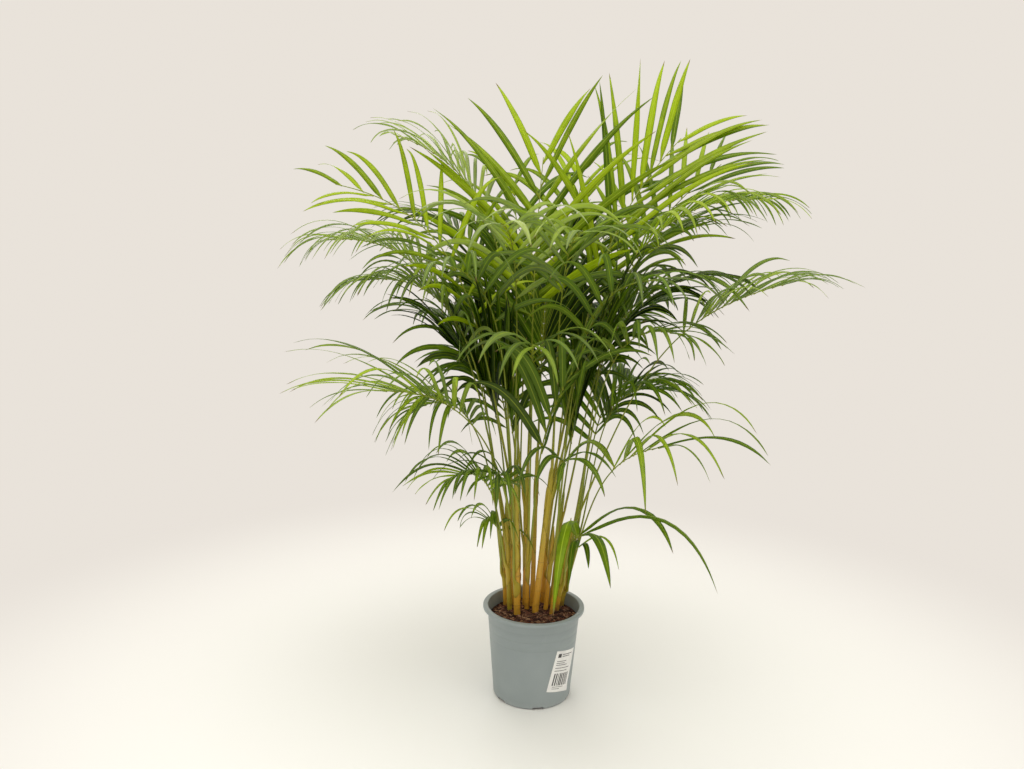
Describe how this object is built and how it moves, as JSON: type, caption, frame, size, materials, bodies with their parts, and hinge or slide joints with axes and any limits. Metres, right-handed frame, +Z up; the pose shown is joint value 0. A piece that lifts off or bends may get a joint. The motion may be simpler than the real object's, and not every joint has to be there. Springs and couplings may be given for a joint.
{
  "type": "potted palm",
  "caption": "Potted areca palm: a clump of yellow canes and arching feathery fronds in a round tapered plastic nursery pot filled with bark compost.",
  "frame": {"origin": "middle of the pot's flat underside, on the surface it stands on", "axes": "+Z up along the pot's axis; -Y is the side towards the viewer, with the label on the pot's right front"},
  "size_m": [1.0857, 0.8462, 1.3325],
  "materials": {
    "pot": "satin moulded polypropylene",
    "compost": "rough shredded bark and coir",
    "label": null,
    "cane": "smooth waxy cane with ring scars",
    "leaf": "satin leaf blade with parallel veins"
  },
  "bodies": {
    "root": {"pot": "pot", "compost": "compost", "label": "label", "cane_a": "cane", "cane_b": "cane", "cane_c": "cane", "cane_d": "cane", "cane_e": "cane", "cane_f": "cane", "cane_g": "cane", "cane_h": "cane", "cane_i": "cane", "cane_j": "cane", "cane_k": "cane", "cane_l": "cane", "cane_m": "cane", "cane_n": "cane", "cane_o": "cane", "frond_crown_left": "leaf", "frond_crown_right": "leaf", "frond_right_top": "leaf", "frond_right_arch": "leaf", "frond_far_right": "leaf", "frond_right_bright": "leaf", "frond_low_right": "leaf", "frond_lowest_right": "leaf", "frond_left_top": "leaf", "frond_left_arch": "leaf", "frond_left_second": "leaf", "frond_left_third": "leaf", "frond_left_fourth": "leaf", "frond_left_curl": "leaf", "frond_left_low": "leaf", "frond_lowest_left": "leaf", "frond_front_mid": "leaf", "frond_front_top": "leaf", "frond_front_arc": "leaf", "frond_front_left": "leaf", "frond_front_right": "leaf", "frond_front_low": "leaf", "frond_front_low_left": "leaf", "frond_right_fan_high": "leaf", "frond_right_fan_mid": "leaf", "frond_right_fan_low": "leaf", "frond_right_droop": "leaf", "frond_right_low": "leaf", "frond_crown_back": "leaf", "frond_crown_far": "leaf", "frond_inner_left": "leaf", "frond_inner_right": "leaf", "frond_inner_front": "leaf", "frond_inner_back": "leaf", "frond_inner_far_left": "leaf", "frond_back_left_high": "leaf", "frond_back_left_mid": "leaf", "frond_back_left_low": "leaf", "frond_back_mid": "leaf", "frond_back_right_high": "leaf", "frond_back_right_mid": "leaf", "frond_back_right_low": "leaf"}
  },
  "joints": []
}
